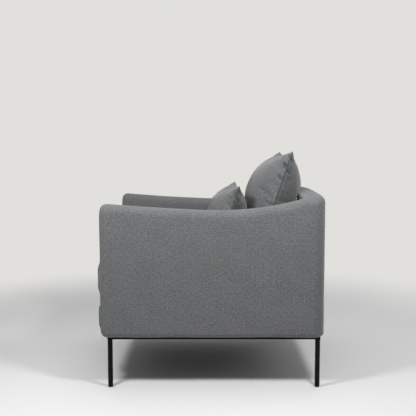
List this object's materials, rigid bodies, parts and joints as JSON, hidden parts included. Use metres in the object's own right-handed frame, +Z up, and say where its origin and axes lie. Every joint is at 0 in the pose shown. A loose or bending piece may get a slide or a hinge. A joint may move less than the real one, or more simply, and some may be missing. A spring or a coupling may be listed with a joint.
{
  "type": "upholstered armchair",
  "caption": "Low boxy upholstered armchair on a thin black steel base, with a loose seat cushion, back cushion and lumbar pillow.",
  "frame": {"origin": "on the floor, within 6 mm of the middle of the chair's outer box", "axes": "+Z up, -Y the way the sitter faces, +X towards the sitter's left arm"},
  "size_m": [0.726, 0.839, 0.8612],
  "materials": {
    "upholstery_fabric": "mid-grey heathered plain weave",
    "cushion_fabric": "mid-grey heathered plain weave, knife-edge seams",
    "seat_foam": "cream polyurethane foam",
    "polyester_fibre": "white polyester fibre in an inner bag",
    "black_steel": "satin black powder coat",
    "zinc_fastener": "zinc-plated steel",
    "glide_plastic": "moulded black nylon",
    "plywood": "raw birch plywood",
    "beech": "raw sawn beech",
    "elastic_webbing": "woven elastic strap",
    "dust_cloth": "black spun-bonded cloth",
    "zip_tape": "grey woven tape with a nylon coil"
  },
  "bodies": {
    "frame": {"leg_front_left": "black_steel", "glide_front_left": "glide_plastic", "base_tab_front_left": "black_steel", "base_bolt_front_left": "zinc_fastener", "insert_front_left": "zinc_fastener", "corner_block_front_left": "beech", "leg_front_right": "black_steel", "glide_front_right": "glide_plastic", "base_tab_front_right": "black_steel", "base_bolt_front_right": "zinc_fastener", "insert_front_right": "zinc_fastener", "corner_block_front_right": "beech", "leg_rear_left": "black_steel", "glide_rear_left": "glide_plastic", "base_tab_rear_left": "black_steel", "base_bolt_rear_left": "zinc_fastener", "insert_rear_left": "zinc_fastener", "corner_block_rear_left": "beech", "leg_rear_right": "black_steel", "glide_rear_right": "glide_plastic", "base_tab_rear_right": "black_steel", "base_bolt_rear_right": "zinc_fastener", "insert_rear_right": "zinc_fastener", "corner_block_rear_right": "beech", "base_rail_left": "black_steel", "seat_rail_left": "beech", "base_rail_right": "black_steel", "seat_rail_right": "beech", "base_rail_front": "black_steel", "seat_rail_front": "beech", "base_rail_rear": "black_steel", "seat_rail_rear": "beech", "dust_cover": "dust_cloth", "arm_panel_left": "plywood", "arm_panel_right": "plywood", "back_panel": "plywood", "webbing_long_1": "elastic_webbing", "webbing_cross_1": "elastic_webbing", "webbing_long_2": "elastic_webbing", "webbing_cross_2": "elastic_webbing", "webbing_long_3": "elastic_webbing", "webbing_cross_3": "elastic_webbing", "side_pad_left": "upholstery_fabric", "side_pad_right": "upholstery_fabric", "back_pad": "upholstery_fabric", "front_apron": "upholstery_fabric", "deck_pad": "upholstery_fabric"},
    "seat_cushion": {"seat_cushion_cover": "cushion_fabric", "seat_cushion_core": "seat_foam", "seat_cushion_zip": "zip_tape"},
    "seat_zip_slider": {"seat_zip_slider": "zinc_fastener"},
    "back_cushion": {"back_cushion_cover": "cushion_fabric", "back_cushion_fill": "polyester_fibre", "back_cushion_zip": "zip_tape"},
    "back_cushion_zip_slider": {"back_cushion_zip_slider": "zinc_fastener"},
    "lumbar_pillow": {"lumbar_pillow_cover": "cushion_fabric", "lumbar_pillow_fill": "polyester_fibre", "lumbar_pillow_zip": "zip_tape"},
    "lumbar_pillow_zip_slider": {"lumbar_pillow_zip_slider": "zinc_fastener"}
  },
  "joints": [
    {"name": "seat_cushion_lift", "type": "slide", "parent": "frame", "child": "seat_cushion", "axis": [0, 0, 1], "range_m": [0, 0.42]},
    {"name": "back_cushion_lift", "type": "slide", "parent": "seat_cushion", "child": "back_cushion", "axis": [0, 0, 1], "range_m": [0, 0.3]},
    {"name": "lumbar_pillow_lift", "type": "slide", "parent": "seat_cushion", "child": "lumbar_pillow", "axis": [0, -0.6, 0.8], "range_m": [0, 0.35]},
    {"name": "seat_cushion_zip", "type": "slide", "parent": "seat_cushion", "child": "seat_zip_slider", "axis": [-1, 0, 0], "range_m": [0, 0.43]},
    {"name": "back_cushion_zip", "type": "slide", "parent": "back_cushion", "child": "back_cushion_zip_slider", "axis": [-1, 0, 0], "range_m": [0, 0.25]},
    {"name": "lumbar_pillow_zip", "type": "slide", "parent": "lumbar_pillow", "child": "lumbar_pillow_zip_slider", "axis": [-1, 0, 0], "range_m": [0, 0.22]}
  ]
}
